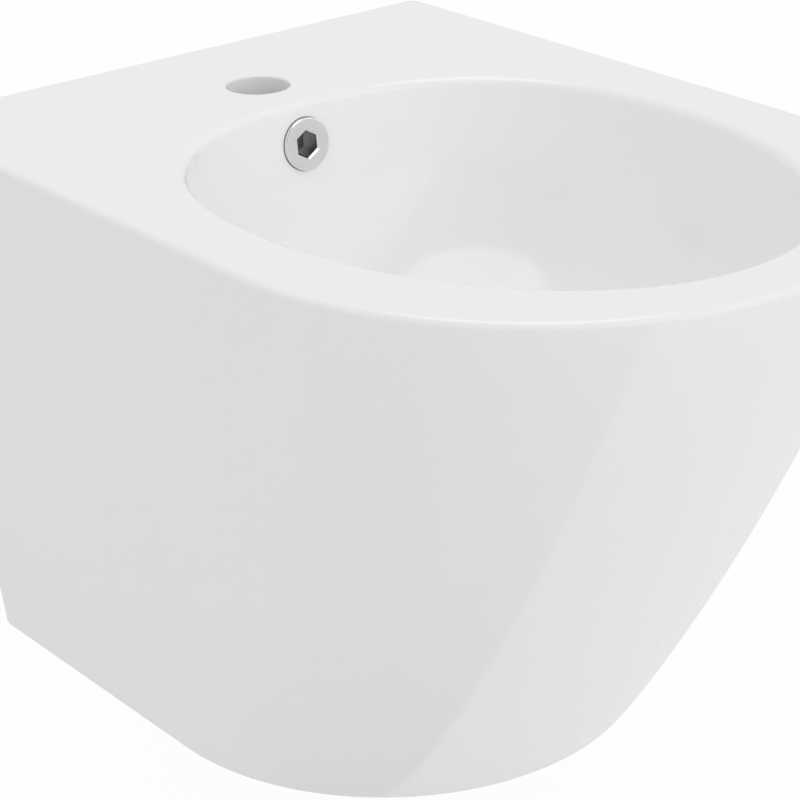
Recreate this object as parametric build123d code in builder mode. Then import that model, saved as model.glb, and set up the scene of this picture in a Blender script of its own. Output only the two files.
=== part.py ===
from build123d import *
from math import atan2, cos, degrees, pi, sin
import os

# Wall-hung bidet. The wall is the plane y = 0 and the front points to -Y.
# The origin lies on the wall, midway between the two fixing holes.
# All sizes are in millimetres.

# Outer skirt of the ceramic
HEIGHT = 320.0
TOP_WIDTH = 360.0
TOP_DEPTH = 480.0
TOP_STRAIGHT = 300.0
BASE_WIDTH = 284.0
BASE_DEPTH = 326.0
BASE_STRAIGHT = 184.0
FRONT_DROP = 1.26
FRONT_BULGE = 1.07
REAR_CORNER = 5.0
TOP_EDGE = 4.0
BASE_EDGE = 4.0
SKIRT_SECTIONS = 9

# Walls of the ceramic
DECK = 14.0
SKIRT_WALL = 12.0
REAR_WALL = 16.0
REAR_GRIND = 0.05
BASE_WALL = 14.0
BASE_LIP = 30.0
BOWL_WALL = 9.0

# Bowl
BOWL_CENTRE = 265.0
BOWL_REAR = 146.0
BOWL_FRONT = 181.5
BOWL_HALF_WIDTH = 140.0
BOWL_DEPTH = 120.0
BOWL_LIP = 4.8
REAR_SQUARENESS = 0.63
FRONT_SQUARENESS = 0.557
BOWL_ROUNDNESS = 2.9
BOWL_TAPER = 0.05
BOWL_FLOOR = 0.985
BOWL_SECTIONS = 9

# Tap hole
TAP_SETBACK = 80.0
TAP_HOLE = 35.0
TAP_EDGE = 1.5

# Overflow in the rear wall of the bowl
OVERFLOW_DROP = 24.0
SPOT_DEPTH = 0.8
SPOT_CLEARANCE = 0.4
DUCT_WIDTH = 44.0
DUCT_GAP = 8.0
DUCT_SUMP = 16.0
DUCT_WALL = 5.5
DUCT_HEADROOM = 0.8
RING_DIAMETER = 29.0
RING_THICKNESS = 3.0
RING_EDGE = 0.8
RING_LAND = 3.3
RING_HEX = 13.0
RING_SHANK_WALL = 1.5
RING_REACH = 10.0
RING_GASKET = 0.8
RING_GASKET_INSET = 1.0
INSERT_CLEARANCE = 0.2
INSERT_REACH = 12.0

# Waste boss of the ceramic
SEAT_DROP = 4.5
SEAT_CLEARANCE = 2.0
WASTE_HOLE_CLEARANCE = 2.0
BOSS_WALL = 8.0
CHAMBER_CLEARANCE = 10.0
CHAMBER_ROOF = 8.0
CHAMBER_HEIGHT = 16.0
CHAMBER_FLOOR = 12.0

# Waste fitting, G 1 1/4
WASTE_THREAD = 41.9
WASTE_WALL = 2.4
WASTE_TAIL = 30.0
TAIL_NUT_GAP = 1.0
TAIL_GROOVE = 2.0
TAIL_GROOVE_DEPTH = 0.6
THREAD_CLEARANCE = 0.1
FLANGE_DIAMETER = 64.0
FLANGE_THICKNESS = 3.0
FLANGE_EDGE = 1.2
FLANGE_GASKET = 2.0
FLANGE_GASKET_INSET = 1.5
MOUTH_DIAMETER = 44.0
MOUTH_DEPTH = 5.0
SLOT_COUNT = 6
SLOT_WIDTH = 9.0
SLOT_MARGIN = 2.0
SLOT_CORNER = 2.0
BRIDGE_THICKNESS = 6.0
BRIDGE_WIDTH = 7.0
BRIDGE_BORE = 10.2
BRIDGE_HUB_WALL = 3.4
CONE_GASKET_SEAT = 7.0
CONE_GASKET_THICKNESS = 5.0
CONE_RISE = 4.0
CONE_TAPER = 15.0
SLIP_WASHER_INSET = 1.0
SLIP_WASHER_THICKNESS = 1.5
BACK_NUT_WALL = 5.0
BACK_NUT_THICKNESS = 9.0
NUT_CHAMFER = 0.8

# Push-button stopper
PLUG_TRAVEL = 9.0
CAP_INSET = 1.0
CAP_EDGE = 2.4
CAP_CROWN = 3.0
CAP_ROUNDING = 0.8
CAP_SEAT_GAP = 2.4
CAP_HUB = 16.0
CAP_HUB_HEIGHT = 9.0
CAP_LIP = 1.2
CAP_LIP_GRIP = 1.5
SEAL_INSET = 2.5
SEAL_SECTION = 4.0
SEAL_CLEARANCE = 0.1
SPINDLE_DIAMETER = 8.0
SPINDLE_CLEARANCE = 0.06
SPINDLE_THREAD = 6.0
SPINDLE_END_GAP = 0.5
COLLAR_CLEARANCE = 0.2
COLLAR_THICKNESS = 3.0
COLLAR_GAP = 0.1
LOCK_NUT_FLATS = 10.0
LOCK_NUT_THICKNESS = 3.0
LOCK_NUT_GAP = 1.5
CARTRIDGE_WALL = 2.0
CARTRIDGE_BORE = 13.0
CARTRIDGE_FLOOR = 3.0
CARTRIDGE_CAP = 3.5
CARTRIDGE_SPIGOT = 3.0
SPRING_WIRE = 1.0
SPRING_TURNS = 5
SPRING_CLEARANCE = 0.75
SPRING_END_GAP = 0.1
SPRING_SPARE = 2.0

# Wall fixings for M12 studs
STUD_DROP = 85.0
STUD_SPACING = 180.0
STUD_DIAMETER = 12.0
STUD_CLEARANCE = 0.3
BUSH_WALL = 4.2
BUSH_CLEARANCE = 0.5
BUSH_RIM = 7.5
BUSH_FLANGE = 4.0
WASHER_RIM = 8.7
WASHER_THICKNESS = 2.5
NUT_FLATS = 18.0
NUT_THICKNESS = 10.0

# Service opening in the rear wall and the base
WINDOW_WIDTH = 140.0
WINDOW_DROP = 50.0
WINDOW_CORNER = 25.0

# Levels and places that follow from the sizes above
rim_z = STUD_DROP
base_z = rim_z - HEIGHT
waste_y = -BOWL_CENTRE
seat_z = rim_z - BOWL_DEPTH - SEAT_DROP
flange_z = seat_z + FLANGE_GASKET
flange_top = flange_z + FLANGE_THICKNESS
chamber_z = seat_z - CHAMBER_ROOF - CHAMBER_HEIGHT
boss_z = chamber_z - CHAMBER_FLOOR

# Radii that follow
tube_radius = WASTE_THREAD / 2
bore_radius = tube_radius - WASTE_WALL
thread_radius = tube_radius + THREAD_CLEARANCE
waste_hole_radius = tube_radius + WASTE_HOLE_CLEARANCE
chamber_radius = tube_radius + CHAMBER_CLEARANCE
boss_radius = chamber_radius + BOSS_WALL
flange_radius = FLANGE_DIAMETER / 2
ring_radius = RING_DIAMETER / 2
overflow_radius = ring_radius - RING_LAND
shank_radius = RING_HEX / 2 / cos(pi / 6) + RING_SHANK_WALL
shank_bore = shank_radius + THREAD_CLEARANCE
stud_radius = STUD_DIAMETER / 2
stud_bore = stud_radius + STUD_CLEARANCE
bush_radius = stud_bore + BUSH_WALL
duct_top = rim_z - OVERFLOW_DROP + overflow_radius + DUCT_HEADROOM
os.makedirs("parts", exist_ok=True)


def finish(part, name):
    """Label a finished piece and write its file."""
    part.label = name
    export_step(part, f"parts/{name}.step")


def skirt_section(drop, inset, rear):
    """Horizontal D-shaped section of the skirt, a fraction `drop` of the height below the rim."""
    reach = (1 - drop**FRONT_DROP) ** (1 / FRONT_BULGE)
    half_width = TOP_WIDTH / 2 - (TOP_WIDTH - BASE_WIDTH) / 2 * drop - inset
    straight = BASE_STRAIGHT + (TOP_STRAIGHT - BASE_STRAIGHT) * reach
    depth = BASE_DEPTH + (TOP_DEPTH - BASE_DEPTH) * reach
    with BuildSketch(Plane.XY.offset(rim_z - HEIGHT * drop)) as section:
        with BuildLine():
            FilletPolyline(
                (half_width, -straight),
                (half_width, -rear),
                (-half_width, -rear),
                (-half_width, -straight),
                radius=REAR_CORNER,
            )
            EllipticalCenterArc(
                (0, -straight), half_width, depth - straight - inset, start_angle=180, arc_size=180
            )
        make_face()
    return section.sketch


def skirt_sections(first_drop, last_drop, inset, rear):
    """Sections of the skirt at even steps between two levels, lowest first."""
    steps = [i / (SKIRT_SECTIONS - 1) for i in range(SKIRT_SECTIONS)]
    drops = [last_drop + (first_drop - last_drop) * step for step in steps]
    return [skirt_section(drop, inset, rear) for drop in drops]


def bowl_scale(drop):
    """Size of the bowl's section, as a share of the opening, at a fraction of its depth."""
    taper = 1 - BOWL_TAPER * drop
    return taper * (1 - drop**BOWL_ROUNDNESS) ** (1 / BOWL_ROUNDNESS)


def bowl_section(drop, offset, sink):
    """Oval section of the bowl at a share of its depth, grown by `offset` and sunk by `sink`."""
    scale = bowl_scale(drop)
    half_width = BOWL_HALF_WIDTH * scale + offset
    rear = BOWL_REAR * scale + offset
    front = BOWL_FRONT * scale + offset
    level = Plane.XY.offset(rim_z - (BOWL_DEPTH + sink) * drop / BOWL_FLOOR)
    with BuildSketch(level) as section:
        with BuildLine():
            for side, length, squareness in (
                (1, rear, REAR_SQUARENESS),
                (-1, rear, REAR_SQUARENESS),
                (-1, -front, FRONT_SQUARENESS),
                (1, -front, FRONT_SQUARENESS),
            ):
                Bezier(
                    (side * half_width, -BOWL_CENTRE),
                    (side * half_width, -BOWL_CENTRE + squareness * length),
                    (side * half_width * squareness, -BOWL_CENTRE + length),
                    (0, -BOWL_CENTRE + length),
                )
        make_face()
    return section.sketch


def bowl(offset, sink):
    """Solid that fills the bowl, grown by `offset` at the sides and by `sink` at the floor."""
    steps = [sin(pi / 2 * i / (BOWL_SECTIONS - 1)) for i in range(BOWL_SECTIONS)]
    with BuildPart() as filling:
        loft([bowl_section(BOWL_FLOOR * step, offset, sink) for step in reversed(steps)])
    return filling.part


def block(x_half, y_low, y_high, z_low, z_high):
    """Rectangular block across the middle of the bidet."""
    centre = ((y_low + y_high) / 2, (z_low + z_high) / 2)
    return Pos(0, *centre) * Box(2 * x_half, y_high - y_low, z_high - z_low)


def upright(z):
    """Horizontal plane on the waste's axis."""
    return Plane.XY.offset(z).move(Location((0, waste_y, 0)))


def rear_surface(drop):
    """Rear wall of the bowl on the middle plane, at a share of the bowl's depth."""
    return -BOWL_CENTRE + BOWL_REAR * bowl_scale(drop)


# Plane of the overflow: on the rear wall of the bowl, facing into the bowl
overflow_share = OVERFLOW_DROP / BOWL_DEPTH * BOWL_FLOOR
share_step = 0.01
overflow_y = rear_surface(overflow_share)
overflow_run = rear_surface(overflow_share - share_step) - rear_surface(overflow_share + share_step)
overflow_tilt = atan2(overflow_run, 2 * share_step * BOWL_DEPTH / BOWL_FLOOR)
overflow_wall = Plane(
    origin=(0, overflow_y, rim_z - OVERFLOW_DROP),
    x_dir=(1, 0, 0),
    z_dir=(0, -cos(overflow_tilt), sin(overflow_tilt)),
)
overflow_seat = overflow_wall.offset(-SPOT_DEPTH)
overflow_axis = Axis(overflow_seat.origin, overflow_seat.z_dir)

# Ceramic body: skirt, deck, bowl, overflow duct and waste boss in one casting
with BuildPart() as hollow:
    loft(skirt_sections(DECK / HEIGHT, 1 - BASE_WALL / HEIGHT, SKIRT_WALL, REAR_WALL))

duct_outer = bowl(BOWL_WALL + DUCT_GAP + DUCT_WALL, BOWL_WALL + DUCT_SUMP + DUCT_WALL)
duct_outer = duct_outer & block(DUCT_WIDTH / 2 + DUCT_WALL, waste_y, 0, boss_z, duct_top)
duct_inner = bowl(BOWL_WALL + DUCT_GAP, BOWL_WALL + DUCT_SUMP) - bowl(BOWL_WALL, BOWL_WALL)
duct_inner = duct_inner & block(DUCT_WIDTH / 2, waste_y, 0, boss_z, duct_top)

# The back is ground flat where it rests on the wall
wall_side = block(TOP_WIDTH, 0, REAR_WALL, base_z - DECK, rim_z + DECK)

with BuildPart() as ceramic_body:
    loft(skirt_sections(0, 1, 0, -REAR_GRIND))
    add(wall_side, mode=Mode.SUBTRACT)
    fillet(ceramic_body.faces().sort_by(Axis.Z)[-1].edges(), TOP_EDGE)
    fillet(ceramic_body.faces().sort_by(Axis.Z)[0].edges(), BASE_EDGE)
    add(hollow.part, mode=Mode.SUBTRACT)

    # Service opening through the base and the rear wall
    rear_lip = REAR_WALL + BASE_LIP - SKIRT_WALL
    with BuildSketch(Plane.XY.offset(base_z)):
        add(skirt_section(1, BASE_LIP, rear_lip))
    extrude(amount=BASE_WALL, mode=Mode.SUBTRACT)
    window_height = -WINDOW_DROP - base_z
    with BuildSketch(Plane.XZ):
        with Locations((0, base_z + (window_height - WINDOW_CORNER) / 2)):
            RectangleRounded(WINDOW_WIDTH, window_height + WINDOW_CORNER, WINDOW_CORNER)
    extrude(amount=rear_lip, mode=Mode.SUBTRACT)

    # Bowl, overflow duct and boss hang from the deck
    add(bowl(BOWL_WALL, BOWL_WALL))
    add(duct_outer)
    with BuildSketch(upright(boss_z)):
        Circle(boss_radius)
    extrude(amount=seat_z + SEAT_DROP - boss_z)
    add(bowl(0, 0), mode=Mode.SUBTRACT)
    with BuildSketch(upright(seat_z)):
        Circle(flange_radius + SEAT_CLEARANCE)
    extrude(amount=BOWL_DEPTH / 2, mode=Mode.SUBTRACT)
    with BuildSketch(upright(boss_z)):
        Circle(waste_hole_radius)
    extrude(amount=seat_z - boss_z, mode=Mode.SUBTRACT)
    add(duct_inner, mode=Mode.SUBTRACT)
    with BuildSketch(upright(chamber_z)):
        Circle(chamber_radius)
    extrude(amount=CHAMBER_HEIGHT, mode=Mode.SUBTRACT)

    # Overflow hole with its flat seat
    with BuildSketch(overflow_seat):
        Circle(ring_radius + SPOT_CLEARANCE)
    extrude(amount=BOWL_LIP + SPOT_DEPTH, mode=Mode.SUBTRACT)
    with BuildSketch(overflow_seat):
        Circle(overflow_radius)
    extrude(amount=-BOWL_WALL - DUCT_GAP / 2, mode=Mode.SUBTRACT)

    # Tap hole and the holes for the wall fixings
    with BuildSketch(Plane.XY.offset(rim_z)):
        with Locations((0, -TAP_SETBACK)):
            Circle(TAP_HOLE / 2)
    extrude(amount=-DECK, mode=Mode.SUBTRACT)
    with BuildSketch(Plane.XZ):
        with GridLocations(STUD_SPACING, 0, 2, 1):
            Circle(bush_radius + BUSH_CLEARANCE)
    extrude(amount=REAR_WALL, mode=Mode.SUBTRACT)

    # Glaze-rounded edges of the bowl and the tap hole
    deck_edges = ceramic_body.faces().filter_by(Axis.Z).sort_by(Axis.Z)[-1].inner_wires()
    fillet(deck_edges.sort_by(SortBy.LENGTH)[-1].edges(), BOWL_LIP)
    deck_edges = ceramic_body.faces().filter_by(Axis.Z).sort_by(Axis.Z)[-1].inner_wires()
    fillet(deck_edges.sort_by(SortBy.LENGTH)[0].edges(), TAP_EDGE)
finish(ceramic_body.part, "ceramic_body")

# Overflow ring: turned flange and threaded shank with a hexagonal opening for the key
with BuildPart() as overflow_ring:
    with BuildSketch(overflow_seat.offset(RING_GASKET)):
        Circle(ring_radius)
    extrude(amount=RING_THICKNESS)
    fillet(overflow_ring.edges().filter_by(GeomType.CIRCLE).sort_by(overflow_axis)[-1], RING_EDGE)
    with BuildSketch(overflow_seat.offset(RING_GASKET)):
        Circle(shank_radius)
    extrude(amount=-RING_REACH)
    with BuildSketch(overflow_seat.offset(RING_GASKET + RING_THICKNESS)):
        RegularPolygon(RING_HEX / 2, 6, major_radius=False, rotation=30)
    extrude(amount=-RING_THICKNESS - RING_REACH, mode=Mode.SUBTRACT)
finish(overflow_ring.part, "overflow_ring")

# Rubber gasket under the overflow ring's flange
with BuildPart() as overflow_gasket:
    with BuildSketch(overflow_seat):
        Circle(ring_radius - RING_GASKET_INSET)
        Circle(shank_bore, mode=Mode.SUBTRACT)
    extrude(amount=RING_GASKET)
finish(overflow_gasket.part, "overflow_gasket")

# Plastic insert in the overflow hole, which the ring's shank screws into
with BuildPart() as overflow_insert:
    with BuildSketch(overflow_seat):
        Circle(overflow_radius - INSERT_CLEARANCE)
        Circle(shank_bore, mode=Mode.SUBTRACT)
    extrude(amount=-INSERT_REACH)
finish(overflow_insert.part, "overflow_insert")

# Levels of the raised stopper and of the cartridge that it works in
cap_z = flange_top + CAP_SEAT_GAP + PLUG_TRAVEL
hub_z = cap_z - CAP_HUB_HEIGHT
lock_nut_z = hub_z - LOCK_NUT_THICKNESS
cup_top = lock_nut_z - PLUG_TRAVEL - LOCK_NUT_GAP - CARTRIDGE_CAP
stop_z = cup_top - CARTRIDGE_SPIGOT
collar_z = stop_z - COLLAR_GAP - COLLAR_THICKNESS
cup_z = collar_z - PLUG_TRAVEL - (SPRING_TURNS + 1) * SPRING_WIRE - SPRING_SPARE
bridge_z = cup_z - CARTRIDGE_FLOOR
cartridge_radius = CARTRIDGE_BORE / 2 + CARTRIDGE_WALL
seal_radius = MOUTH_DIAMETER / 2 - SEAL_INSET
groove = SEAL_SECTION + 2 * SEAL_CLEARANCE
spindle_thread_bore = SPINDLE_THREAD / 2 + SPINDLE_CLEARANCE

# Waste body: flanged tube with a conical mouth, overflow slots and a bridge for the cartridge
mouth_z = flange_top - MOUTH_DEPTH
slip_z = boss_z - CONE_GASKET_THICKNESS
nut_z = slip_z - SLIP_WASHER_THICKNESS
groove_z = nut_z - BACK_NUT_THICKNESS - TAIL_NUT_GAP
tail_top = groove_z - TAIL_GROOVE
tail_z = tail_top - WASTE_TAIL
groove_radius = tube_radius - TAIL_GROOVE_DEPTH
slot_height = CHAMBER_HEIGHT - 2 * SLOT_MARGIN
waste_axis = Axis((0, waste_y, 0), (0, 0, 1))
waste_section = Plane(origin=(0, waste_y, 0), x_dir=(1, 0, 0), z_dir=(0, -1, 0))
with BuildPart() as waste_body:
    with BuildSketch(waste_section):
        with BuildLine():
            Polyline(
                (bore_radius, tail_z),
                (tube_radius, tail_z),
                (tube_radius, tail_top),
                (groove_radius, tail_top),
                (groove_radius, groove_z),
                (tube_radius, groove_z),
                (tube_radius, flange_z),
                (flange_radius, flange_z),
                (flange_radius, flange_top),
                (MOUTH_DIAMETER / 2, flange_top),
                (bore_radius, mouth_z),
                close=True,
            )
        make_face()
    revolve(axis=waste_axis)
    rims = waste_body.edges().filter_by(GeomType.CIRCLE).group_by(SortBy.RADIUS)[-1]
    fillet(rims.sort_by(Axis.Z)[-1], FLANGE_EDGE)
    for i in range(SLOT_COUNT // 2):
        turn = 2 * pi * i / SLOT_COUNT
        across = Plane(
            origin=(0, waste_y, chamber_z + CHAMBER_HEIGHT / 2),
            x_dir=(-sin(turn), cos(turn), 0),
            z_dir=(cos(turn), sin(turn), 0),
        )
        with BuildSketch(across):
            RectangleRounded(SLOT_WIDTH, slot_height, SLOT_CORNER)
        extrude(amount=tube_radius + WASTE_WALL, both=True, mode=Mode.SUBTRACT)
    with BuildSketch(upright(bridge_z)):
        Circle(BRIDGE_BORE / 2 + BRIDGE_HUB_WALL)
        Rectangle(2 * tube_radius - WASTE_WALL, BRIDGE_WIDTH)
        Rectangle(BRIDGE_WIDTH, 2 * tube_radius - WASTE_WALL)
        Circle(BRIDGE_BORE / 2, mode=Mode.SUBTRACT)
    extrude(amount=-BRIDGE_THICKNESS)
finish(waste_body.part, "waste_body")

# Rubber gasket between the waste's flange and the ceramic seat
with BuildPart() as flange_gasket:
    with BuildSketch(upright(seat_z)):
        Circle(flange_radius - FLANGE_GASKET_INSET)
        Circle(thread_radius, mode=Mode.SUBTRACT)
    extrude(amount=FLANGE_GASKET)
finish(flange_gasket.part, "flange_gasket")

# Cone gasket below the boss, with a collar that rises into the waste hole
cone_radius = waste_hole_radius + CONE_GASKET_SEAT
with BuildPart() as cone_gasket:
    with BuildSketch(upright(boss_z)):
        Circle(cone_radius)
    extrude(amount=-CONE_GASKET_THICKNESS)
    with BuildSketch(upright(boss_z)):
        Circle(waste_hole_radius - THREAD_CLEARANCE)
    extrude(amount=CONE_RISE, taper=CONE_TAPER)
    with BuildSketch(upright(boss_z + CONE_RISE)):
        Circle(thread_radius)
    extrude(amount=-CONE_RISE - CONE_GASKET_THICKNESS, mode=Mode.SUBTRACT)
finish(cone_gasket.part, "cone_gasket")

# Slip washer, which lets the nut turn without dragging the gasket
with BuildPart() as slip_washer:
    with BuildSketch(upright(slip_z)):
        Circle(cone_radius - SLIP_WASHER_INSET)
        Circle(thread_radius, mode=Mode.SUBTRACT)
    extrude(amount=-SLIP_WASHER_THICKNESS)
finish(slip_washer.part, "slip_washer")

# Hexagonal back nut
with BuildPart() as back_nut:
    with BuildSketch(upright(nut_z)):
        RegularPolygon(tube_radius + BACK_NUT_WALL, 6, major_radius=False)
        Circle(thread_radius, mode=Mode.SUBTRACT)
    extrude(amount=-BACK_NUT_THICKNESS)
    chamfer(back_nut.edges().filter_by(GeomType.CIRCLE), NUT_CHAMFER)
finish(back_nut.part, "back_nut")

# Cartridge body: cup on the bridge with a shank through its hub
with BuildPart() as cartridge_body:
    with BuildSketch(upright(bridge_z)):
        Circle(cartridge_radius)
    extrude(amount=cup_top - bridge_z)
    with BuildSketch(upright(cup_z)):
        Circle(CARTRIDGE_BORE / 2)
    extrude(amount=cup_top - cup_z, mode=Mode.SUBTRACT)
    with BuildSketch(upright(bridge_z)):
        Circle(BRIDGE_BORE / 2 - THREAD_CLEARANCE)
    extrude(amount=-BRIDGE_THICKNESS - CARTRIDGE_FLOOR)
finish(cartridge_body.part, "cartridge_body")

# Cartridge cap: top bush that guides the spindle and stops its collar
with BuildPart() as cartridge_cap:
    with BuildSketch(upright(cup_top)):
        Circle(cartridge_radius)
    extrude(amount=CARTRIDGE_CAP)
    with BuildSketch(upright(stop_z)):
        Circle(CARTRIDGE_BORE / 2 - THREAD_CLEARANCE)
    extrude(amount=CARTRIDGE_SPIGOT)
    with BuildSketch(upright(stop_z)):
        Circle(SPINDLE_DIAMETER / 2 + SPINDLE_CLEARANCE)
    extrude(amount=CARTRIDGE_CAP + CARTRIDGE_SPIGOT, mode=Mode.SUBTRACT)
finish(cartridge_cap.part, "cartridge_cap")

# Stopper cap: crowned disc with a seal groove and a threaded hub below
cap_radius = flange_radius - CAP_INSET
crown_z = cap_z + CAP_EDGE + CAP_CROWN
crown_radius = (cap_radius**2 + CAP_CROWN**2) / (2 * CAP_CROWN)
with BuildPart() as plug_cap:
    with BuildSketch(waste_section):
        with BuildLine():
            Polyline((0, crown_z), (0, cap_z), (cap_radius, cap_z), (cap_radius, cap_z + CAP_EDGE))
            RadiusArc((cap_radius, cap_z + CAP_EDGE), (0, crown_z), -crown_radius)
        make_face()
    revolve(axis=waste_axis)
    fillet(plug_cap.edges().filter_by(GeomType.CIRCLE), CAP_ROUNDING)
    with BuildSketch(upright(cap_z)):
        Circle(seal_radius - SEAL_SECTION / 2 - SEAL_CLEARANCE)
    extrude(amount=-groove)
    with BuildSketch(upright(cap_z - groove)):
        Circle(seal_radius - SEAL_SECTION / 2 + CAP_LIP_GRIP)
    extrude(amount=-CAP_LIP)
    with BuildSketch(upright(cap_z)):
        Circle(CAP_HUB / 2)
    extrude(amount=-CAP_HUB_HEIGHT)
    with BuildSketch(upright(hub_z)):
        Circle(spindle_thread_bore)
    extrude(amount=CAP_HUB_HEIGHT, mode=Mode.SUBTRACT)
finish(plug_cap.part, "plug_cap")

# Seal ring in the cap's groove
with BuildPart() as plug_seal:
    with BuildSketch(waste_section):
        with Locations((seal_radius, cap_z - groove / 2)):
            Circle(SEAL_SECTION / 2)
    revolve(axis=waste_axis)
finish(plug_seal.part, "plug_seal")

# Spindle: guided rod with a stop collar below and a thread for the cap above
with BuildPart() as plug_spindle:
    with BuildSketch(upright(collar_z)):
        Circle(CARTRIDGE_BORE / 2 - COLLAR_CLEARANCE)
    extrude(amount=COLLAR_THICKNESS)
    with BuildSketch(upright(collar_z)):
        Circle(SPINDLE_DIAMETER / 2)
    extrude(amount=lock_nut_z - collar_z)
    with BuildSketch(upright(lock_nut_z)):
        Circle(SPINDLE_THREAD / 2)
    extrude(amount=LOCK_NUT_THICKNESS + CAP_HUB_HEIGHT - SPINDLE_END_GAP)
finish(plug_spindle.part, "plug_spindle")

# Lock nut that fixes the cap's height on the spindle
with BuildPart() as plug_lock_nut:
    with BuildSketch(upright(lock_nut_z)):
        RegularPolygon(LOCK_NUT_FLATS / 2, 6, major_radius=False)
        Circle(spindle_thread_bore, mode=Mode.SUBTRACT)
    extrude(amount=LOCK_NUT_THICKNESS)
finish(plug_lock_nut.part, "plug_lock_nut")

# Spring between the cup's floor and the collar
spring_rise = collar_z - cup_z - 2 * SPRING_END_GAP - SPRING_WIRE
spring_radius = (CARTRIDGE_BORE - SPRING_WIRE) / 2 - SPRING_CLEARANCE
with BuildPart() as cartridge_spring:
    with BuildLine(upright(cup_z + SPRING_END_GAP + SPRING_WIRE / 2)):
        coil = Helix(spring_rise / SPRING_TURNS, spring_rise, spring_radius)
    with BuildSketch(Plane(origin=coil @ 0, z_dir=coil % 0)):
        Circle(SPRING_WIRE / 2)
    sweep()
finish(cartridge_spring.part, "cartridge_spring")

# Wall fixings, left and right: bushes, washers and nuts
washer_depth = REAR_WALL + BUSH_FLANGE
nut_depth = washer_depth + WASHER_THICKNESS
for side, offset_x in (("left", -STUD_SPACING / 2), ("right", STUD_SPACING / 2)):
    wall_face = Plane(origin=(offset_x, 0, 0), x_dir=(1, 0, 0), z_dir=(0, -1, 0))

    # Plastic bush that keeps the steel off the ceramic
    with BuildPart() as fixing_bush:
        with BuildSketch(wall_face):
            Circle(bush_radius)
        extrude(amount=REAR_WALL)
        with BuildSketch(wall_face.offset(REAR_WALL)):
            Circle(bush_radius + BUSH_RIM)
        extrude(amount=BUSH_FLANGE)
        with BuildSketch(wall_face):
            Circle(stud_bore)
        extrude(amount=washer_depth, mode=Mode.SUBTRACT)
    finish(fixing_bush.part, f"fixing_bush_{side}")

    # Steel washer
    with BuildPart() as fixing_washer:
        with BuildSketch(wall_face.offset(washer_depth)):
            Circle(stud_bore + WASHER_RIM)
            Circle(stud_bore, mode=Mode.SUBTRACT)
        extrude(amount=WASHER_THICKNESS)
    finish(fixing_washer.part, f"fixing_washer_{side}")

    # Hexagon nut
    with BuildPart() as fixing_nut:
        with BuildSketch(wall_face.offset(nut_depth)):
            RegularPolygon(NUT_FLATS / 2, 6, major_radius=False)
            Circle(stud_radius + THREAD_CLEARANCE, mode=Mode.SUBTRACT)
        extrude(amount=NUT_THICKNESS)
    finish(fixing_nut.part, f"fixing_nut_{side}")
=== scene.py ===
from math import atan2, cos, pi, radians, sin

import bmesh
import bpy
from mathutils import Matrix, Vector


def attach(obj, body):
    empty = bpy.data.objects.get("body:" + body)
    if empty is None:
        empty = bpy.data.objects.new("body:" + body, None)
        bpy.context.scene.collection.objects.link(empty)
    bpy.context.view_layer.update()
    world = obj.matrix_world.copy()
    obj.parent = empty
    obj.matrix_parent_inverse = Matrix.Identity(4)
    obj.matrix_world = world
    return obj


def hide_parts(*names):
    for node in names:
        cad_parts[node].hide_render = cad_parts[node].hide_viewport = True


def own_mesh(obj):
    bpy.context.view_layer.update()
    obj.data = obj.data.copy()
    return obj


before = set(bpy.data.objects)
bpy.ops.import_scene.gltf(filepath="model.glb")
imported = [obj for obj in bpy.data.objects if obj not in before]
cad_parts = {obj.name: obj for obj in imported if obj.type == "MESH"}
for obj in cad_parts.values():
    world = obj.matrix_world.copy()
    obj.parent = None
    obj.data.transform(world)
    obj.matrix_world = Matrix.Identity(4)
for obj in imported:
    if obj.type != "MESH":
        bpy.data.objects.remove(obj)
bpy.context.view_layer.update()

mm = 0.001


# Ceramic body: one slip-cast piece of white vitreous china with a flat deck, an
# oval bowl, a tap hole, an overflow duct and a boss for the waste. It is glazed
# where it shows, and bare inside, on the back and on its lower edge.

class Term:
    """A socket of a node graph, used in arithmetic."""

    def __init__(self, graph, socket):
        self.graph = graph
        self.socket = socket

    def math(self, operation, *others):
        return self.graph.node("ShaderNodeMath", {"operation": operation}, [self, *others])

    def __add__(self, other):
        return self.math("ADD", other)

    def __sub__(self, other):
        return self.math("SUBTRACT", other)

    def __mul__(self, other):
        return self.math("MULTIPLY", other)

    def __truediv__(self, other):
        return self.math("DIVIDE", other)

    def __pow__(self, other):
        return self.math("POWER", other)

    def __gt__(self, other):
        return self.math("GREATER_THAN", other)

    def __rsub__(self, other):
        return self.graph.node("ShaderNodeMath", {"operation": "SUBTRACT"}, [other, self])

    def __rtruediv__(self, other):
        return self.graph.node("ShaderNodeMath", {"operation": "DIVIDE"}, [other, self])

    __radd__ = __add__
    __rmul__ = __mul__


class Graph:
    """A node tree that is written as expressions."""

    def __init__(self, tree):
        self.tree = tree

    def node(self, kind, settings=(), values=(), output=0):
        """A new node of a kind, with its settings, then the values or links of its sockets."""
        made = self.tree.nodes.new(kind)
        for key, setting in dict(settings).items():
            setattr(made, key, setting)
        for key, value in values.items() if isinstance(values, dict) else enumerate(values):
            if isinstance(value, Term):
                self.tree.links.new(value.socket, made.inputs[key])
            else:
                made.inputs[key].default_value = value
        return Term(self, made.outputs[output] if made.outputs else None)


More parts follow.
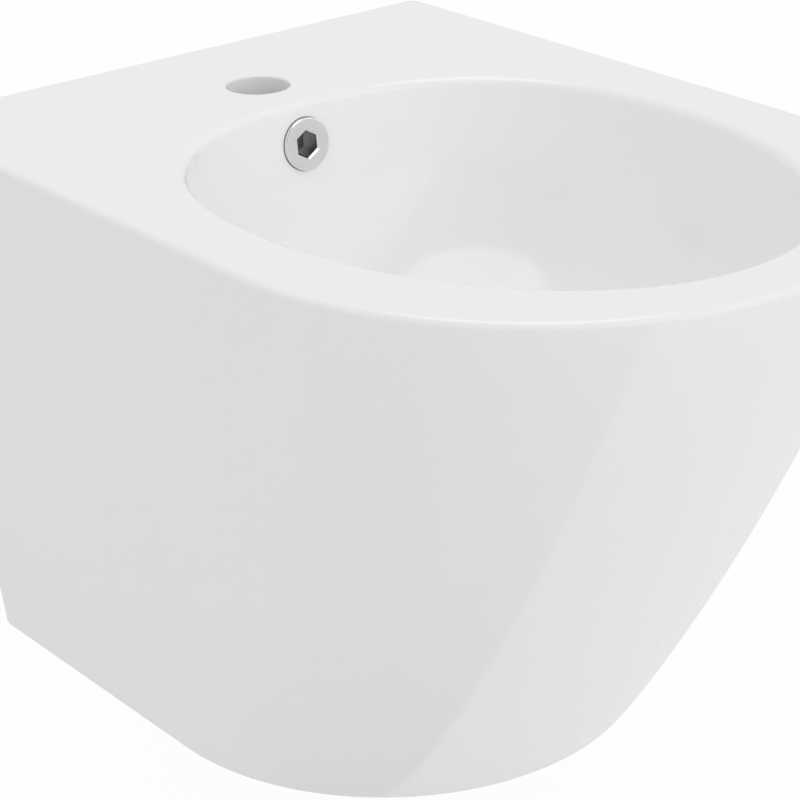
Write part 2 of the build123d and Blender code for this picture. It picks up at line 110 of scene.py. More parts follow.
def surface_tree(name, columns, rows, sizes, shape):
    """Geometry nodes that bend a grid into a closed surface by a formula of its column and row."""
    tree = bpy.data.node_groups.new(name, "GeometryNodeTree")
    graph = Graph(tree)
    for label in sizes:
        tree.interface.new_socket(label, in_out="INPUT", socket_type="NodeSocketFloat")
    tree.interface.new_socket("Material", in_out="INPUT", socket_type="NodeSocketMaterial")
    tree.interface.new_socket("Mesh", in_out="OUTPUT", socket_type="NodeSocketGeometry")
    grid = graph.node("GeometryNodeMeshGrid", {}, {
        "Size X": 1.0, "Size Y": 1.0, "Vertices X": columns + 1, "Vertices Y": rows + 1,
    })
    place = graph.node("GeometryNodeInputPosition")
    column = (graph.node("ShaderNodeSeparateXYZ", {}, [place], "X") + 0.5) * columns
    row = (graph.node("ShaderNodeSeparateXYZ", {}, [place], "Y") + 0.5) * rows
    wanted = [graph.node("NodeGroupInput", output=label) for label in sizes]
    bent = graph.node("GeometryNodeSetPosition", {}, {
        "Geometry": grid,
        "Position": graph.node("ShaderNodeCombineXYZ", {}, shape(graph, column, row, *wanted)),
    })
    closed = graph.node("GeometryNodeMergeByDistance", {}, {"Geometry": bent, "Distance": 1e-6})
    finish_tree(graph, closed)
    return tree


def finish_tree(graph, geometry):
    """The end of each tree: realized instances with their material."""
    real = graph.node("GeometryNodeRealizeInstances", {}, {"Geometry": geometry})
    dressed = graph.node("GeometryNodeSetMaterial", {}, {
        "Geometry": real, "Material": graph.node("NodeGroupInput", output="Material"),
    })
    graph.node("NodeGroupOutput", {}, {"Mesh": dressed})


def grown(name, tree, material, sizes):
    """Object whose mesh a tree makes from these sizes."""
    piece = bpy.data.objects.new(name, bpy.data.meshes.new(name))
    bpy.context.scene.collection.objects.link(piece)
    grower = piece.modifiers.new("grower", "NODES")
    grower.node_group = tree
    for item in tree.interface.items_tree:
        if item.in_out == "INPUT" and item.name in sizes:
            grower[item.identifier] = sizes[item.name]
        elif item.in_out == "INPUT" and item.name == "Material":
            grower[item.identifier] = material
    settle_modifiers(piece)
    face_outwards(piece)
    return piece


def settle_modifiers(piece):
    """Turns a piece's modifiers into plain mesh."""
    bpy.context.view_layer.update()
    shown = piece.evaluated_get(bpy.context.evaluated_depsgraph_get())
    mesh = bpy.data.meshes.new_from_object(shown)
    piece.modifiers.clear()
    piece.data = mesh


def face_outwards(piece):
    """Points the faces of a closed mesh outwards."""
    work = bmesh.new()
    work.from_mesh(piece.data)
    bmesh.ops.recalc_face_normals(work, faces=work.faces)
    if work.calc_volume(signed=True) < 0:
        bmesh.ops.reverse_faces(work, faces=work.faces)
    work.to_mesh(piece.data)
    work.free()


def combine(piece, tool, operation="DIFFERENCE"):
    """Cuts, joins or intersects a closed piece with another, which is used up."""
    step = piece.modifiers.new("step", "BOOLEAN")
    step.object = tool
    step.operation = operation
    step.solver = "MANIFOLD"
    step.material_mode = "TRANSFER"
    settle_modifiers(piece)
    bpy.data.objects.remove(tool)
    return piece


def block(name, material, low, high):
    """Rectangular cutter between two corners, in millimetres."""
    work = bmesh.new()
    bmesh.ops.create_cube(work, size=1)
    for vertex in work.verts:
        vertex.co = [(low[i] + (vertex.co[i] + 0.5) * (high[i] - low[i])) * mm for i in range(3)]
    return meshed(name, material, work)


def meshed(name, material, work):
    """Object from mesh data in progress."""
    mesh = bpy.data.meshes.new(name)
    work.to_mesh(mesh)
    work.free()
    mesh.materials.append(material)
    piece = bpy.data.objects.new(name, mesh)
    bpy.context.scene.collection.objects.link(piece)
    return piece


def clamp(graph, value):
    """A value held between 0 and 1."""
    return graph.node("ShaderNodeClamp", {}, [value, 0.0, 1.0])


def sine(value):
    return value.math("SINE")


def cosine(value):
    return value.math("COSINE")


china = bpy.data.materials.new("glazed_china")
bisque = bpy.data.materials.new("bare_china")

RIM = 85 * mm
SKIRT = {
    "Height": 320 * mm, "Top half width": 180 * mm, "Base half width": 142 * mm,
    "Top depth": 480 * mm, "Base depth": 326 * mm,
    "Top straight": 300 * mm, "Base straight": 184 * mm,
    "Drop power": 1.26, "Bulge power": 1.07, "Corner": 5 * mm,
    "Inset": 0.0, "Rear": 0.0, "First drop": 0.0, "Last drop": 1.0,
    "Top edge": 4 * mm, "Base edge": 4 * mm,
}
SKIRT_STEPS = (6, 8, 16, 110)
SKIRT_RISE = (8, 64, 10)


def skirt_shape(graph, column, row, height, top_half, base_half, top_depth, base_depth, top_straight,
                base_straight, drop_power, bulge_power, corner, inset, rear, first, last,
                top_edge, base_edge):
    """D-shaped skirt that tapers and draws in below, with rounded edges above and below."""
    lower, middle, upper = SKIRT_RISE
    rows = sum(SKIRT_RISE)
    low_turn = clamp(graph, (row - 1) / lower) * (pi / 2)
    high_turn = clamp(graph, (row - 1 - lower - middle) / upper) * (pi / 2)
    climb = clamp(graph, (row - 1 - lower) / middle)
    spread = (row > 0.5) * row.math("LESS_THAN", rows + 1.5)
    low_z = height * last * -1 + base_edge * (1 - cosine(low_turn))
    side = height * (last - first) - base_edge - top_edge
    z = low_z + side * climb + top_edge * sine(high_turn)
    drop = z / height * -1
    drawn = inset + base_edge * (1 - sine(low_turn)) + top_edge * (1 - cosine(high_turn))
    reach = (1 - clamp(graph, drop) ** drop_power) ** (1 / bulge_power)
    half = top_half - (top_half - base_half) * drop - drawn
    straight = base_straight + (top_straight - base_straight) * reach
    front = base_depth + (top_depth - base_depth) * reach - drawn - straight

    back, bend, edge, nose = SKIRT_STEPS
    turn = column - sum(SKIRT_STEPS)
    side_sign = turn.math("SIGN")
    walk = turn.math("ABSOLUTE")
    across = clamp(graph, walk / back)
    rounding = clamp(graph, (walk - back) / bend) * (pi / 2)
    along = clamp(graph, (walk - back - bend) / edge)
    sweep = clamp(graph, (walk - back - bend - edge) / nose) * (pi / 2)
    rear_drawn = rear + drawn - inset
    x = ((half - corner) * across + corner * sine(rounding)) * cosine(sweep)
    y = (rear_drawn + corner * (1 - cosine(rounding)) + (straight - rear_drawn - corner) * along
         + front * sine(sweep)) * -1
    middle_y = straight * -0.5
    return x * side_sign * spread, middle_y + (y - middle_y) * spread, z + RIM


BOWL_CENTRE = -265 * mm
BOWL = {
    "Rear": 146 * mm, "Front": 181.5 * mm, "Half width": 140 * mm, "Depth": 120 * mm,
    "Floor share": 0.985, "Roundness": 2.9, "Taper": 0.05,
    "Rear squareness": 0.63, "Front squareness": 0.557,
    "Offset": 0.0, "Lip": 4.8 * mm, "Headroom": 12 * mm,
}
BOWL_QUARTER = 64
BOWL_RISE = (64, 12)


def bowl_shape(graph, column, row, rear, front, half, depth, floor, roundness, taper,
               rear_square, front_square, offset, lip, headroom):
    """Oval bowl that rounds in to a flat floor, and flares at the top over a rounded lip."""
    wall, flare = BOWL_RISE
    rows = wall + flare
    share = sine((1 - clamp(graph, (row - 1) / wall)) * (pi / 2))
    turn = clamp(graph, (row - 1 - wall) / flare) * (pi / 2)
    above = clamp(graph, row - 1 - rows)
    spread = (row > 0.5) * row.math("LESS_THAN", rows + 2.5)
    fall = lip + (depth - lip) * share - lip * sine(turn)
    drop = fall / depth * floor
    scale = (1 - taper * drop) * (1 - drop ** roundness) ** (1 / roundness)
    grow = offset + lip * (1 - cosine(turn))

    halfway = 2 * BOWL_QUARTER
    side_sign = (column - halfway).math("SIGN")
    walk = (column - halfway).math("ABSOLUTE") / BOWL_QUARTER
    ahead = walk > 1.0
    square = rear_square + (front_square - rear_square) * ahead
    reach = (rear + (front - rear) * ahead) * scale + grow
    t = (walk - 1).math("ABSOLUTE")
    u = 1 - t
    outward = u * u * u + 3 * u * u * t + 3 * u * t * t * square
    onward = 3 * u * u * t * square + 3 * u * t * t + t * t * t
    x = (half * scale + grow) * outward * side_sign
    y = reach * onward * (1 - 2 * ahead)
    return x * spread, y * spread + BOWL_CENTRE, RIM - fall + above * headroom


skirt_tree = surface_tree("skirt", 2 * sum(SKIRT_STEPS), sum(SKIRT_RISE) + 2, SKIRT, skirt_shape)
bowl_tree = surface_tree("bowl", 4 * BOWL_QUARTER, sum(BOWL_RISE) + 3, BOWL, bowl_shape)


def turned(name, material, rows, columns=96, place=Matrix.Identity(4)):
    """Turned solid: rows of (radius, level) in millimetres, where a radius may be a function of angle."""
    work = bmesh.new()
    rings = []
    for radius, level in rows:
        ring = []
        for i in range(columns):
            angle = 2 * pi * i / columns
            reach = radius(angle) if callable(radius) else radius
            ring.append(work.verts.new((reach * cos(angle) * mm, reach * sin(angle) * mm, level * mm)))
        rings.append(ring)
    for ring, above in zip(rings, rings[1:] + rings[:1]):
        for i in range(columns):
            work.faces.new((ring[i - 1], ring[i], above[i], above[i - 1]))
    bmesh.ops.remove_doubles(work, verts=work.verts, dist=1e-6)
    bmesh.ops.transform(work, matrix=place, verts=work.verts)
    piece = meshed(name, material, work)
    face_outwards(piece)
    return piece


def solid(*rows):
    """Rows of a turned piece that is closed on its axis."""
    return [(0, rows[0][1]), *rows, (0, rows[-1][1])]


def prism(name, material, outline, low, high, place=Matrix.Identity(4)):
    """Straight solid over a closed outline, between two levels of its own frame, in millimetres."""
    work = bmesh.new()
    rings = [[work.verts.new((x * mm, y * mm, level * mm)) for x, y in outline] for level in (low, high)]
    for i in range(len(outline)):
        work.faces.new((rings[0][i - 1], rings[0][i], rings[1][i], rings[1][i - 1]))
    for ring in rings:
        work.faces.new(ring)
    bmesh.ops.transform(work, matrix=place, verts=work.verts)
    piece = meshed(name, material, work)
    face_outwards(piece)
    return piece


def rounded_box(width, height, corner, steps=8):
    """Outline of a rectangle with round corners about the origin."""
    outline = []
    for quarter, (side, end) in enumerate(((1, 1), (-1, 1), (-1, -1), (1, -1))):
        for i in range(steps + 1):
            angle = (quarter + i / steps) * pi / 2
            outline.append((side * (width / 2 - corner) + corner * cos(angle),
                            end * (height / 2 - corner) + corner * sin(angle)))
    return outline


def bored(piece, name, material, rows, place):
    """Cuts a turned hole out of a piece."""
    return combine(piece, turned(name, material, solid(*rows), 96, place))


WASTE = Matrix.Translation((0, BOWL_CENTRE, 0))
OVERFLOW_TILT = atan2(0.1135, 0.9935)
OVERFLOW = (Matrix.Translation((0, -120.9 * mm, 61 * mm))
            @ Matrix.Rotation(pi / 2 - OVERFLOW_TILT, 4, "X"))
TAP = Matrix.Translation((0, -80 * mm, RIM))
BACK = Matrix.Rotation(pi / 2, 4, "X")

body = grown("china_body", skirt_tree, china, SKIRT)
cavity = grown("cavity", skirt_tree, bisque, SKIRT | {
    "Inset": 12 * mm, "Rear": 16 * mm, "First drop": 14 / 320, "Last drop": 1 - 14 / 320,
    "Top edge": 5 * mm, "Base edge": 5 * mm,
})
base_opening = grown("base_opening", skirt_tree, bisque, SKIRT | {
    "Inset": 30 * mm, "Rear": 34 * mm, "First drop": 1 - 30 / 320, "Corner": 12 * mm,
    "Top edge": 1 * mm, "Base edge": 1 * mm,
})
base_opening.data.transform(Matrix.Translation((0, 0, -6 * mm)))
combine(cavity, base_opening, "UNION")
window = rounded_box(140, 220, 25)
window_place = BACK @ Matrix.Translation((0, -160 * mm, 0))
combine(cavity, prism("window", bisque, window, -5, 34, window_place), "UNION")
combine(cavity, grown("shell", bowl_tree, bisque, BOWL | {"Offset": 9 * mm, "Depth": 129 * mm}))
duct = grown("duct", bowl_tree, bisque, BOWL | {"Offset": 22.5 * mm, "Depth": 150.5 * mm})
combine(duct, block("duct_side", bisque, (-27.5, -265, -75.5), (27.5, -1, 73)), "INTERSECT")
combine(cavity, duct)
combine(cavity, turned("boss", bisque, solid((38.95, -75.5), (38.95, -30)), 96, WASTE))
combine(body, cavity)

duct = grown("duct", bowl_tree, bisque, BOWL | {"Offset": 17 * mm, "Depth": 145 * mm})
combine(duct, block("duct_side", bisque, (-22, -265, -75.5), (22, -1, 73)), "INTERSECT")
combine(duct, grown("shell", bowl_tree, bisque, BOWL | {"Offset": 9 * mm, "Depth": 129 * mm}))
combine(body, duct)
combine(body, grown("bowl", bowl_tree, china, BOWL))
bored(body, "seat", china, ((34, -39.5), (34, -20)), WASTE)
bored(body, "waste_hole", bisque, ((22.95, -90), (22.95, -20)), WASTE)
bored(body, "chamber", bisque, ((30.95, -63.5), (30.95, -47.5)), WASTE)
bored(body, "ring_seat", china, ((14.9, -0.8), (14.9, 8)), OVERFLOW)
bored(body, "overflow_hole", china, ((11.2, -13), (11.2, 2)), OVERFLOW)
edge = [(17.5 + 1.5 * (1 - cos(pi / 2 * i / 8)), -1.5 * (1 - sin(pi / 2 * i / 8)) + 0.02) for i in range(9)]
bored(body, "tap_hole", china, [(17.5, -20), *edge, (19, 3)], TAP)
for side in (-90, 90):
    bored(body, "fixing_hole", bisque, ((11, -2), (11, 20)), BACK @ Matrix.Translation((side * mm, 0, 0)))


def smooth(piece, sharp=35):
    """Smooth shading that breaks at the real edges and stays flat on flat faces."""
    piece.data.polygons.foreach_set("use_smooth", [True] * len(piece.data.polygons))
    piece.data.set_sharp_from_angle(angle=radians(sharp))
    weighted = piece.modifiers.new("weighted", "WEIGHTED_NORMAL")
    weighted.keep_sharp = True
    settle_modifiers(piece)


def place(piece, ridden, slot, *nodes):
    """Ties a finished piece to its body and hides the nodes that it stands for. Its material slot is not
    used.
    """
    piece.name = "shown_" + nodes[0]
    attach(piece, ridden)
    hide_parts(*nodes)


smooth(body, 24)
place(body, "bidet", "glazed_china", "ceramic_body")


def surface(material):
    """The graph and the main shader of a material."""
    material.use_nodes = True
    tree = material.node_tree
    tree.nodes.clear()
    return Graph(tree)


def shade(graph, constants, values):
    """The material's shader with its constants and its varying values."""
    shader = graph.node("ShaderNodeBsdfPrincipled", {}, constants | values)
    graph.node("ShaderNodeOutputMaterial", {}, {"Surface": shader})


def noise(graph, scale, detail=2.0, roughness=0.5):
    """Fine random field in the object's own space, from 0 to 1."""
    space = graph.node("ShaderNodeTexCoord", output="Object")
    return graph.node("ShaderNodeTexNoise", {}, {
        "Vector": space, "Scale": scale, "Detail": detail, "Roughness": roughness,
    }, "Fac")


def tint(graph, factor, low, high):
    """Colour between two, by a factor."""
    return graph.node("ShaderNodeMix", {"data_type": "RGBA"}, {0: factor, 6: (*low, 1), 7: (*high, 1)}, 2)


def bump(graph, height, strength, distance):
    return graph.node("ShaderNodeBump", {}, {"Height": height, "Strength": strength, "Distance": distance},
                      "Normal")


graph = surface(china)
space = graph.node("ShaderNodeTexCoord", output="Object")
level = graph.node("ShaderNodeSeparateXYZ", {}, [space], "Z")
depth = graph.node("ShaderNodeSeparateXYZ", {}, [space], "Y")
bare = (depth > -0.0005).math("MAXIMUM", level.math("LESS_THAN", -0.2345))
cloud = noise(graph, 9, 3)
glaze = tint(graph, cloud, (0.958, 0.96, 0.963), (0.968, 0.968, 0.966))
shade(graph, {"IOR": 1.5}, {
    "Base Color": graph.node("ShaderNodeMix", {"data_type": "RGBA"},
                             {0: bare, 6: glaze, 7: (0.80, 0.78, 0.74, 1)}, 2),
    "Roughness": 0.03 + 0.02 * noise(graph, 30, 2) + 0.55 * bare,
    "Normal": bump(graph, 0.3 * noise(graph, 40, 1) + noise(graph, 900, 1) * bare, 0.05, 0.0006),
})
graph = surface(bisque)
shade(graph, {"IOR": 1.45}, {
    "Base Color": tint(graph, noise(graph, 14, 4), (0.72, 0.70, 0.66), (0.78, 0.765, 0.73)),
    "Roughness": 0.55 + 0.2 * noise(graph, 60, 3),
    "Normal": bump(graph, noise(graph, 700, 4), 0.25, 0.0004),
})


# Overflow ring: a turned brass flange with a threaded shank, chrome plated, with a
# hexagonal way through for the water and for the key that screws it in.

chrome = bpy.data.materials.new("chrome_trim")
graph = surface(chrome)
smear = noise(graph, 40, 3)
shade(graph, {"Metallic": 1.0}, {
    "Base Color": tint(graph, smear, (0.83, 0.835, 0.84), (0.86, 0.862, 0.865)),
    "Roughness": 0.05 + 0.05 * noise(graph, 120, 2),
    "Normal": bump(graph, noise(graph, 260, 1), 0.02, 0.0005),
})


def hexagon(flats, limit=1000):
    """Radius of a hexagon with this distance from its middle to a flat, held to a limit."""
    return lambda angle: min(limit, flats / cos((angle + pi / 6) % (pi / 3) - pi / 6))


def thread(radius, deep, pitch, low, high, steps=6):
    """Rows of a helical thread between two levels, cut into a radius, that runs out at both ends."""
    rows = []
    count = round((high - low) / pitch * steps)
    for i in range(count + 1):
        level = low + (high - low) * i / count
        runout = min(1, i / steps, (count - i) / steps)

        def cut(angle, level=level, runout=runout):
            phase = (level / pitch - angle / (2 * pi)) % 1
            return radius - deep * runout * (1 - abs(2 * phase - 1))

        rows.append((cut, level))
    return rows


def arc(radius, level, size, start, end, steps=5):
    """Rows of a rounded edge about a centre in the profile, from one angle to another in degrees."""
    angles = [radians(start + (end - start) * i / steps) for i in range(steps + 1)]
    return [(radius + size * cos(a), level + size * sin(a)) for a in angles]


RING_TOP = 3.8
RING_PLACE = OVERFLOW @ Matrix.Translation((0, 0, -0.8 * mm))
ring = turned("overflow_ring", chrome, [
    *thread(9.0, 0.6, 1.5, -9.2, 0.6), (9.0, 0.8), *arc(14.2, 1.1, 0.3, -90, 0),
    *arc(13.7, RING_TOP - 0.8, 0.8, 0, 90), (hexagon(7.3), RING_TOP), (hexagon(6.5), RING_TOP - 0.9),
    (hexagon(6.5), -9.2),
], 96, RING_PLACE)
smooth(ring)
place(ring, "bidet", "chrome_trim", "overflow_ring")


# Overflow gasket: a flat ring of black rubber that is pinched under the flange.

rubber = bpy.data.materials.new("black_rubber")
graph = surface(rubber)
bloom = noise(graph, 90, 4)
shade(graph, {"IOR": 1.45}, {
    "Base Color": tint(graph, bloom, (0.018, 0.018, 0.019), (0.045, 0.045, 0.044)),
    "Roughness": 0.5 + 0.25 * bloom,
    "Normal": bump(graph, noise(graph, 1500, 2), 0.15, 0.0002),
})


def gasket(name, inner, outer, low, high, frame_of, rounding=0.3):
    """Flat rubber ring whose outer edges are a little rounded."""
    piece = turned(name, rubber, [
        (inner, low), *arc(outer - rounding, low + rounding, rounding, -90, 0),
        *arc(outer - rounding, high - rounding, rounding, 0, 90), (inner, high),
    ], 96, frame_of)
    smooth(piece)
    place(piece, "bidet", "black_rubber", name)


gasket("overflow_gasket", 9.106, 13.5, 0, 0.8, RING_PLACE)


# Overflow insert: a moulded sleeve of white plastic in the hole of the china, with
# ridges that grip, which the ring's shank screws into.

white_plastic = bpy.data.materials.new("white_plastic")
graph = surface(white_plastic)
shade(graph, {"IOR": 1.46}, {
    "Base Color": tint(graph, noise(graph, 60, 2), (0.74, 0.74, 0.72), (0.79, 0.79, 0.77)),
    "Roughness": 0.35 + 0.15 * noise(graph, 200, 2),
    "Normal": bump(graph, noise(graph, 1200, 2), 0.08, 0.0002),
})
ridges = []
for i in range(8):
    ridges += [(10.6, -11.2 + i * 1.3), (11.0, -10.4 + i * 1.3), (10.6, -10.3 + i * 1.3)]
insert = turned("overflow_insert", white_plastic, [
    (9.106, -12), (10.4, -12), *ridges, (10.7, -0.4), (10.7, 0), (9.106, 0),
], 72, RING_PLACE)
smooth(insert)
place(insert, "bidet", "white_plastic", "overflow_insert")


# Waste body: a turned and chromed brass tube with a flange that seats in the bowl,
# a conical mouth, overflow slots level with the chamber and a G 1 1/4 thread below.

waste = turned("waste_body", chrome, [
    (18.55, -124), (20.0, -124), *thread(20.95, 1.3, 2.309, -123, -94.2), (20.95, -94), (20.35, -94),
    (20.35, -92), (20.95, -92), *thread(20.95, 1.3, 2.309, -91.8, -67), (20.95, -37.5),
    *arc(31.7, -37.2, 0.3, -90, 0), *arc(30.8, -35.7, 1.2, 0, 90), *arc(22.4, -34.9, 0.4, 90, 135, 3),
    (18.55, -39.5),
], 96, WASTE)
slot = rounded_box(12, 9, 2)


def around_tree(name):
    """Geometry nodes that repeat a shape evenly about the upright axis."""
    tree = bpy.data.node_groups.new(name, "GeometryNodeTree")
    graph = Graph(tree)
    tree.interface.new_socket("Shape", in_out="INPUT", socket_type="NodeSocketObject")
    tree.interface.new_socket("Count", in_out="INPUT", socket_type="NodeSocketInt")
    tree.interface.new_socket("Material", in_out="INPUT", socket_type="NodeSocketMaterial")
    tree.interface.new_socket("Mesh", in_out="OUTPUT", socket_type="NodeSocketGeometry")
    count = graph.node("NodeGroupInput", output="Count")
    points = graph.node("GeometryNodeMeshLine", {}, {"Count": count, "Offset": (0, 0, 0)})
    turn = graph.node("GeometryNodeInputIndex") * (2 * pi) / count
    shape = graph.node("GeometryNodeObjectInfo", {}, {0: graph.node("NodeGroupInput", output="Shape")},
                       "Geometry")
    spread = graph.node("GeometryNodeInstanceOnPoints", {}, {
        "Points": points, "Instance": shape,
        "Rotation": graph.node("ShaderNodeCombineXYZ", {}, {"Z": turn}),
    })
    finish_tree(graph, spread)
    return tree


one_slot = prism("one_slot", chrome, slot, 12, 26, Matrix.Rotation(pi / 2, 4, "Y"))
slots = grown("slots", around_tree("slots"), chrome, {"Shape": one_slot, "Count": 6})
slots.data.transform(WASTE @ Matrix.Translation((0, 0, -55.5 * mm)))
combine(waste, slots)
bpy.data.objects.remove(one_slot)
bridge = turned("bridge", chrome, solid((8.5, -81.2), (8.5, -75.2)), 96, WASTE)
for low, high in (((-19.7, -3.5), (19.7, 3.5)), ((-3.5, -19.7), (3.5, 19.7))):
    arm = block("arm", chrome, (*low, -81.2), (*high, -75.2))
    arm.data.transform(WASTE)
    combine(bridge, arm, "UNION")
bored(bridge, "hub_bore", chrome, ((5.1, -90), (5.1, -70)), WASTE)
combine(waste, bridge, "UNION")
smooth(waste, 30)
place(waste, "bidet", "chrome_trim", "waste_body")


# Flange gasket, cone gasket and slip washer: black rubber above and below the boss,
# and a thin plastic ring that lets the back nut turn without dragging the rubber.

gasket("flange_gasket", 21.05, 30.5, -39.5, -37.5, WASTE, 0.6)
cone = turned("cone_gasket", rubber, [
    (21.05, -80.5), *arc(29.25, -79.8, 0.7, -90, 0), *arc(29.25, -76.2, 0.7, 0, 90), (22.85, -75.5),
    (21.78, -71.5), (21.05, -71.5),
], 96, WASTE)
smooth(cone)
place(cone, "bidet", "black_rubber", "cone_gasket")
slip = turned("slip_washer", white_plastic, [
    (21.05, -82), *arc(28.65, -81.7, 0.3, -90, 0), *arc(28.65, -80.8, 0.3, 0, 90), (21.05, -80.5),
], 96, WASTE)
smooth(slip)
place(slip, "bidet", "white_plastic", "slip_washer")


# Back nut: a plain brass hexagon that draws the waste down onto its gaskets, with
# turned chamfers at its corners.

brass = bpy.data.materials.new("plain_brass")
graph = surface(brass)
tarnish = noise(graph, 70, 5)
shade(graph, {"Metallic": 1.0}, {
    "Base Color": tint(graph, tarnish, (0.62, 0.45, 0.20), (0.78, 0.61, 0.32)),
    "Roughness": 0.22 + 0.2 * tarnish,
    "Normal": bump(graph, noise(graph, 900, 2), 0.05, 0.0002),
})


def nut(name, material, flats, bore, low, high, frame_of, deep, pitch):
    """Hexagon nut with chamfered corners and a cut thread."""
    corner = flats / cos(pi / 6)
    slope = [(i / 4, corner - (corner - flats) * 1.1 * (1 - i / 4)) for i in range(5)]
    rise = (corner - flats) * 0.5
    inner = thread(bore + deep, deep, pitch, low + 0.8, high - 0.8)
    return turned(name, material, [
        *reversed(inner), (bore + deep, low), (flats * 0.94, low),
        *[(hexagon(flats, limit), low + share * rise) for share, limit in slope],
        *[(hexagon(flats, limit), high - share * rise) for share, limit in reversed(slope)],
        (flats * 0.94, high), (bore + deep, high),
    ], 96, frame_of)


back_nut = nut("back_nut", brass, 25.95, 20.96, -91, -82, WASTE, 1.2, 2.309)
smooth(back_nut, 25)
place(back_nut, "bidet", "plain_brass", "back_nut")


# Push-button cartridge: a grey moulded cup on the bridge and its screwed-in cap,
# which guides the stopper's spindle and holds the spring down.

grey_plastic = bpy.data.materials.new("grey_plastic")
graph = surface(grey_plastic)
shade(graph, {"IOR": 1.46}, {
    "Base Color": tint(graph, noise(graph, 80, 3), (0.29, 0.30, 0.31), (0.34, 0.35, 0.36)),
    "Roughness": 0.4 + 0.15 * noise(graph, 300, 2),
    "Normal": bump(graph, noise(graph, 1500, 2), 0.08, 0.0002),
})
cup = turned("cartridge_body", grey_plastic, [
    (0, -84.2), *arc(4.6, -83.8, 0.4, -90, 0), (5.0, -75.2), *arc(8.2, -74.9, 0.3, -90, 0),
    (8.5, -49.1), (6.5, -49.1), (6.5, -72.2), (0, -72.2),
], 72, WASTE)
smooth(cup)
place(cup, "bidet", "grey_plastic", "cartridge_body")
cap = turned("cartridge_cap", grey_plastic, [
    (4.06, -52.1), (6.4, -52.1), (6.4, -49.1), (8.5, -49.1), *arc(8.0, -46.1, 0.5, 0, 90), (4.06, -45.6),
], 72, WASTE)
smooth(cap)
place(cap, "bidet", "grey_plastic", "cartridge_cap")


# Spring: five turns of stainless wire between the floor of the cup and the collar of
# the spindle, which lift the stopper.

steel_wire = bpy.data.materials.new("spring_steel")
graph = surface(steel_wire)
shade(graph, {"Metallic": 1.0}, {
    "Base Color": tint(graph, noise(graph, 400, 3), (0.52, 0.52, 0.53), (0.62, 0.62, 0.62)),
    "Roughness": 0.25 + 0.1 * noise(graph, 900, 2),
})


def spring_tree(name):
    """Geometry nodes that wind a wire on a spiral."""
    tree = bpy.data.node_groups.new(name, "GeometryNodeTree")
    graph = Graph(tree)
    for label in ("Turns", "Radius", "Rise", "Wire radius"):
        tree.interface.new_socket(label, in_out="INPUT", socket_type="NodeSocketFloat")
    tree.interface.new_socket("Material", in_out="INPUT", socket_type="NodeSocketMaterial")
    tree.interface.new_socket("Mesh", in_out="OUTPUT", socket_type="NodeSocketGeometry")
    radius = graph.node("NodeGroupInput", output="Radius")
    coil = graph.node("GeometryNodeCurveSpiral", {}, {
        "Resolution": 40, "Rotations": graph.node("NodeGroupInput", output="Turns"),
        "Start Radius": radius, "End Radius": radius, "Height": graph.node("NodeGroupInput", output="Rise"),
    })
    wire = graph.node("GeometryNodeCurvePrimitiveCircle", {}, {
        "Resolution": 12, "Radius": graph.node("NodeGroupInput", output="Wire radius"),
    })
    wound = graph.node("GeometryNodeCurveToMesh", {}, {
        "Curve": coil, "Profile Curve": wire, "Fill Caps": True,
    })
    finish_tree(graph, wound)
    return tree


spring = grown("cartridge_spring", spring_tree("spring"), steel_wire, {
    "Turns": 5.0, "Radius": 5.25 * mm, "Rise": 15.8 * mm, "Wire radius": 0.5 * mm,
})
spring.data.transform(WASTE @ Matrix.Translation((0, 0, -71.6 * mm)))
smooth(spring)
place(spring, "bidet", "spring_steel", "cartridge_spring")
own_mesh(spring)


# Stopper: a crowned chrome cap that is pushed to open and shut, with a rubber seal in
# the groove of its hub. It is screwed onto a brass spindle and held by a lock nut.

CROWN_ANGLES = (0, 15, 30, 45, 60, 70, 78)
crown = [(31.0 * sin(radians(a)), -17.7 - 3.0 * sin(radians(a)) ** 2) for a in CROWN_ANGLES]
stopper = turned("plug_cap", chrome, [
    (3.06, -32.1), (7.6, -32.1), (8.0, -31.7), (8.0, -28.5), (18.7, -28.5), (19.0, -28.2), (19.0, -27.3),
    (17.4, -27.3), (17.4, -23.1), *arc(30.2, -22.3, 0.8, -90, 0), *arc(30.2, -21.5, 0.8, 0, 80),
    *reversed(crown), (0, -23.6), (3.06, -23.6),
], 96, WASTE)
smooth(stopper, 30)
place(stopper, "plug", "chrome_trim", "plug_cap")
seal = turned("plug_seal", rubber, arc(19.5, -25.2, 2.0, -90, 255, 23), 96, WASTE)
smooth(seal)
place(seal, "plug", "black_rubber", "plug_seal")
spindle = turned("plug_spindle", brass, [
    (0, -55.2), *arc(6.0, -54.9, 0.3, -90, 0), *arc(6.0, -52.5, 0.3, 0, 90), (4.0, -52.2),
    (4.0, -35.4), (3.7, -35.1), (3.0, -35.1), *thread(3.0, 0.35, 1.0, -34.9, -24.2), (2.8, -23.6), (0, -23.6),
], 72, WASTE)
smooth(spindle)
place(spindle, "plug", "plain_brass", "plug_spindle")
lock_nut = nut("plug_lock_nut", brass, 5.0, 3.06, -35.1, -32.1, WASTE, 0.3, 1.0)
smooth(lock_nut, 25)
place(lock_nut, "plug", "plain_brass", "plug_lock_nut")


# Wall fixings, left and right: a white plastic bush that keeps the steel off the
# china, a zinc-plated washer and a hexagon nut, which the wall's studs go through.

